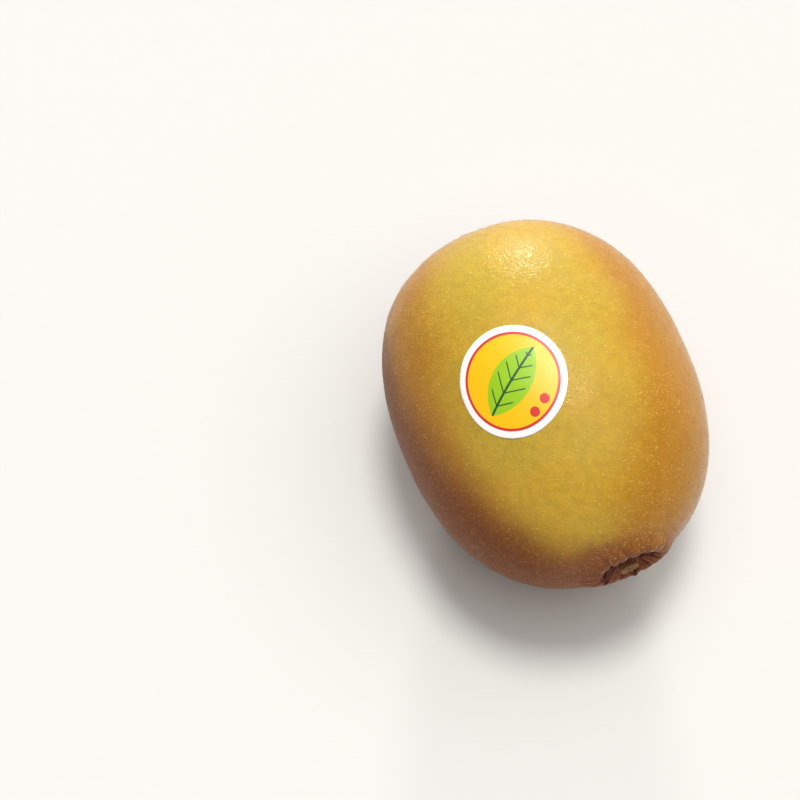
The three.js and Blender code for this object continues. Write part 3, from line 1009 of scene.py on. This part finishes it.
def place_style(template, row, angle, draw):
    """A copy of the style in its row, leaning outwards from the blossom end."""
    copy = template.copy()
    copy.data = template.data.copy()
    bpy.context.collection.objects.link(copy)
    length = row["length"] * draw.uniform(0.75, 1.2)
    lean = row["lean"] * draw.uniform(0.7, 1.3)
    radius = row["radius"] * draw.uniform(0.85, 1.1)
    foot = Matrix.Translation((0, 0, radius)) @ Matrix.Rotation(lean, 4, "Y")
    shape = Matrix.Rotation(draw.uniform(0, 2 * math.pi), 4, "X") @ Matrix.Rotation(-math.pi / 2, 4, "Y")
    middle = pole(-1, STYLE_LIFT) + frame_shift()
    root = Matrix.Translation(middle) @ Matrix.Rotation(-angle, 4, "X")
    copy.data.transform(root @ foot @ shape @ Matrix.Scale(length, 4))
    return copy


def add_scar():
    """The ridged dry pad that the styles stand on."""
    begin()
    bpy.ops.mesh.primitive_uv_sphere_add(segments=48, ring_count=24, radius=1)
    scar = bpy.context.object
    ball = np.roll(vertices_of(scar), 1, axis=1)
    rough = 1 + 0.18 * grain(ball, 0.3, 9)
    middle = pole(-1, SCAR_LIFT) + frame_shift()
    size = np.array([SCAR_THICKNESS, SCAR_RADIUS, SCAR_RADIUS])
    move_vertices(scar, middle + ball * size * rough[:, None])
    return scar


class KIWIFRUIT_OT_styles(Operator):
    """Models the tuft of withered styles at the blossom end"""

    bl_idname = "kiwifruit.styles"
    bl_label = "Withered Styles"

    def execute(self, context):
        draw = random.Random(8)
        template = single_style()
        pieces = [add_scar()]
        for row in STYLE_ROWS:
            for i in range(row["count"]):
                angle = 2 * math.pi * (i + draw.uniform(-0.3, 0.3)) / row["count"]
                pieces.append(place_style(template, row, angle, draw))
        bpy.data.objects.remove(template)
        tuft = join(pieces)
        finish_piece(tuft, "withered_styles", style_material(), "style_tuft")
        return {"FINISHED"}


FILM_LIFT = 0.04 * MM  # from the skin to the film
COCKLE = {"height": 0.04 * MM, "spread": 0.12, "count": 9}


class KIWIFRUIT_OT_label(Operator):
    """Sticks the printed label on the upper side"""

    bl_idname = "kiwifruit.label"
    bl_label = "Label"

    def execute(self, context):
        look = settings("label")
        begin()
        bpy.ops.mesh.primitive_grid_add(x_subdivisions=64, y_subdivisions=64, size=2)
        film = bpy.context.object
        # A square grid is rounded to a disc without a pole.
        across, along = vertices_of(film)[:, 0], vertices_of(film)[:, 1]
        disc = np.stack([across * np.sqrt(1 - along**2 / 2), along * np.sqrt(1 - across**2 / 2)], axis=-1)
        set_uvs(film, "print", (disc + 1) / 2)
        right, up = disc[:, 0] * look.width / 2, disc[:, 1] * look.height / 2
        back = up * math.cos(LABEL_TURN) - right * math.sin(LABEL_TURN)
        round_it = up * math.sin(LABEL_TURN) + right * math.cos(LABEL_TURN)
        angle = LABEL_ANGLE + 2 * round_it / settings("body").height
        places, outward = flank_points(LABEL_X - back, angle)
        reach = np.hypot(disc[:, 0], disc[:, 1])
        way_round = np.arctan2(disc[:, 1], disc[:, 0])
        # A flat film on a round fruit cockles a little along its rim.
        waves = 1 + np.sin(COCKLE["count"] * way_round + np.sin(2 * way_round))
        cockle = COCKLE["height"] * bell(1 - reach, COCKLE["spread"]) * waves
        height = unevenness(places) + FILM_LIFT + cockle
        move_vertices(film, places + outward * height[:, None] + frame_shift())
        apply_modifier(film, "SOLIDIFY", thickness=look.thickness, offset=1)
        finish_piece(film, "fruit_label", label_material(), "label")
        return {"FINISHED"}


CAMERA_AZIMUTH = math.radians(64.29)
CAMERA_ELEVATION = math.radians(70.2)
CAMERA_DISTANCE = 402.6 * MM
CAMERA_LENS = 100  # millimetres, on a sensor 36 mm wide
SENSOR = 36
PICTURE_SIDE = 800  # pixels
FRUIT_IN_PICTURE = (545.0, 403.4)  # pixels from the left and from the top


def add_camera():
    """Looks down on the fruit, turned aside so that it stands right of the picture's middle."""
    look = Matrix.Rotation(CAMERA_AZIMUTH, 3, "Z") @ Matrix.Rotation(math.pi / 2 - CAMERA_ELEVATION, 3, "X")
    back = look.col[2].copy()
    focal_pixels = CAMERA_LENS / SENSOR * PICTURE_SIDE
    turn_left = math.atan((FRUIT_IN_PICTURE[0] - PICTURE_SIDE / 2) / focal_pixels)
    tip_up = math.atan((FRUIT_IN_PICTURE[1] - PICTURE_SIDE / 2) / focal_pixels)
    look = look @ Matrix.Rotation(turn_left, 3, "Y") @ Matrix.Rotation(tip_up, 3, "X")
    begin()
    bpy.ops.object.camera_add(location=fruit_middle() + back * CAMERA_DISTANCE)
    camera = bpy.context.object
    camera.rotation_euler = look.to_euler()
    camera.data.lens = CAMERA_LENS
    camera.data.sensor_width = SENSOR
    camera.data.clip_start = 10 * MM
    bpy.context.scene.camera = camera


def floor_material():
    """Matte painted board: pale and even, with the faintest grain."""
    m = new_material("painted_board")
    place = place_in_mm(m)
    paint = add_node(m, "TexNoise", {"Vector": place, "Scale": 1 / 2})
    relief = add_node(m, "Math", [paint, 0.02 * MM], operation="MULTIPLY")
    inputs = {"Base Color": settings("stage").floor, "Roughness": 0.9, "Specular IOR Level": 0.1}
    return finish_material(m, relief, inputs)


FLOOR_RADIUS = 3  # metres


def add_floor():
    """A wide round floor under the fruit."""
    begin()
    bpy.ops.mesh.primitive_circle_add(vertices=96, radius=FLOOR_RADIUS, fill_type="NGON")
    floor = bpy.context.object
    floor.name = "floor"
    floor.data.materials.append(floor_material())


LAMPS = (  # which way each lies from the fruit, and how wide it looks from there
    {"name": "key", "way": (-0.89, 0.43, 0.16), "angle": math.radians(9)},
    {"name": "wide", "way": (0.02, 0.28, 0.95), "angle": math.radians(75)},
    {"name": "top", "way": (-0.22, 0.19, 0.96), "angle": math.radians(16)},
)


def add_lights():
    """Far lamps, low beyond the blossom end and overhead, that light the whole floor evenly."""
    stage = settings("stage")
    for spec in LAMPS:
        begin()
        way = Vector(spec["way"]).normalized()
        bpy.ops.object.light_add(type="SUN", location=way)
        lamp = bpy.context.object
        lamp.name = spec["name"] + "_light"
        lamp.rotation_euler = way.to_track_quat("Z", "Y").to_euler()
        lamp.data.angle = spec["angle"]
        # A sun of strength pi makes a white card that faces it fully bright.
        lamp.data.energy = getattr(stage, spec["name"]) * math.pi


HORIZON_LIGHT = 0.85
HORIZON_REACH = 0.4  # how high over the floor it fades out, as the sine of that angle


def add_room():
    """A pale room all round, brighter at the height of the floor."""
    world = bpy.data.worlds.new("pale_room")
    world.use_nodes = True
    world.node_tree.nodes.clear()
    way = add_node(world, "TexCoord", output="Generated")
    height = add_node(world, "SeparateXYZ", [way], output="Z")
    brightness = (HORIZON_LIGHT, settings("stage").room_light)
    light = add_node(world, "MapRange", [height, 0, HORIZON_REACH, *brightness], **SMOOTH)
    room = add_node(world, "Background", [(1, 1, 1), light])
    add_node(world, "OutputWorld", [room])
    bpy.context.scene.world = world
    bpy.context.scene.view_settings.view_transform = "Standard"


class KIWIFRUIT_OT_stage(Operator):
    """Lays the floor and sets up the lights and the camera"""

    bl_idname = "kiwifruit.stage"
    bl_label = "Floor, Lights and Camera"

    def execute(self, context):
        add_camera()
        add_floor()
        add_lights()
        add_room()
        return {"FINISHED"}


SETTINGS = {
    "body": KiwifruitBody,
    "ends": KiwifruitEnds,
    "skin": KiwifruitSkin,
    "label": KiwifruitLabel,
    "stage": KiwifruitStage,
}
STEPS = (
    KIWIFRUIT_OT_stage,
    KIWIFRUIT_OT_skin,
    KIWIFRUIT_OT_bristles,
    KIWIFRUIT_OT_stub,
    KIWIFRUIT_OT_calyx,
    KIWIFRUIT_OT_styles,
    KIWIFRUIT_OT_label,
)


class VIEW3D_PT_kiwifruit(Panel):
    """Lists the fruit's pieces and their settings"""

    bl_label = "Golden Kiwifruit"
    bl_space_type = "VIEW_3D"
    bl_region_type = "UI"
    bl_category = "Kiwifruit"

    def draw(self, context):
        for step in STEPS:
            self.layout.operator(step.bl_idname)
        for name, group in SETTINGS.items():
            box = self.layout.box()
            box.label(text=name.title())
            for prop in group.__annotations__:
                box.prop(getattr(context.scene, "kiwifruit_" + name), prop)


def register():
    for cls in (*SETTINGS.values(), *STEPS, VIEW3D_PT_kiwifruit):
        bpy.utils.register_class(cls)
    for name, group in SETTINGS.items():
        setattr(bpy.types.Scene, "kiwifruit_" + name, PointerProperty(type=group))


def unregister():
    for name in SETTINGS:
        delattr(bpy.types.Scene, "kiwifruit_" + name)
    for cls in reversed((*SETTINGS.values(), *STEPS, VIEW3D_PT_kiwifruit)):
        bpy.utils.unregister_class(cls)


def main():
    """Makes the stage and every piece."""
    register()
    for step in STEPS:
        group, name = step.bl_idname.split(".")
        getattr(getattr(bpy.ops, group), name)()


if __name__ == "__main__":
    main()
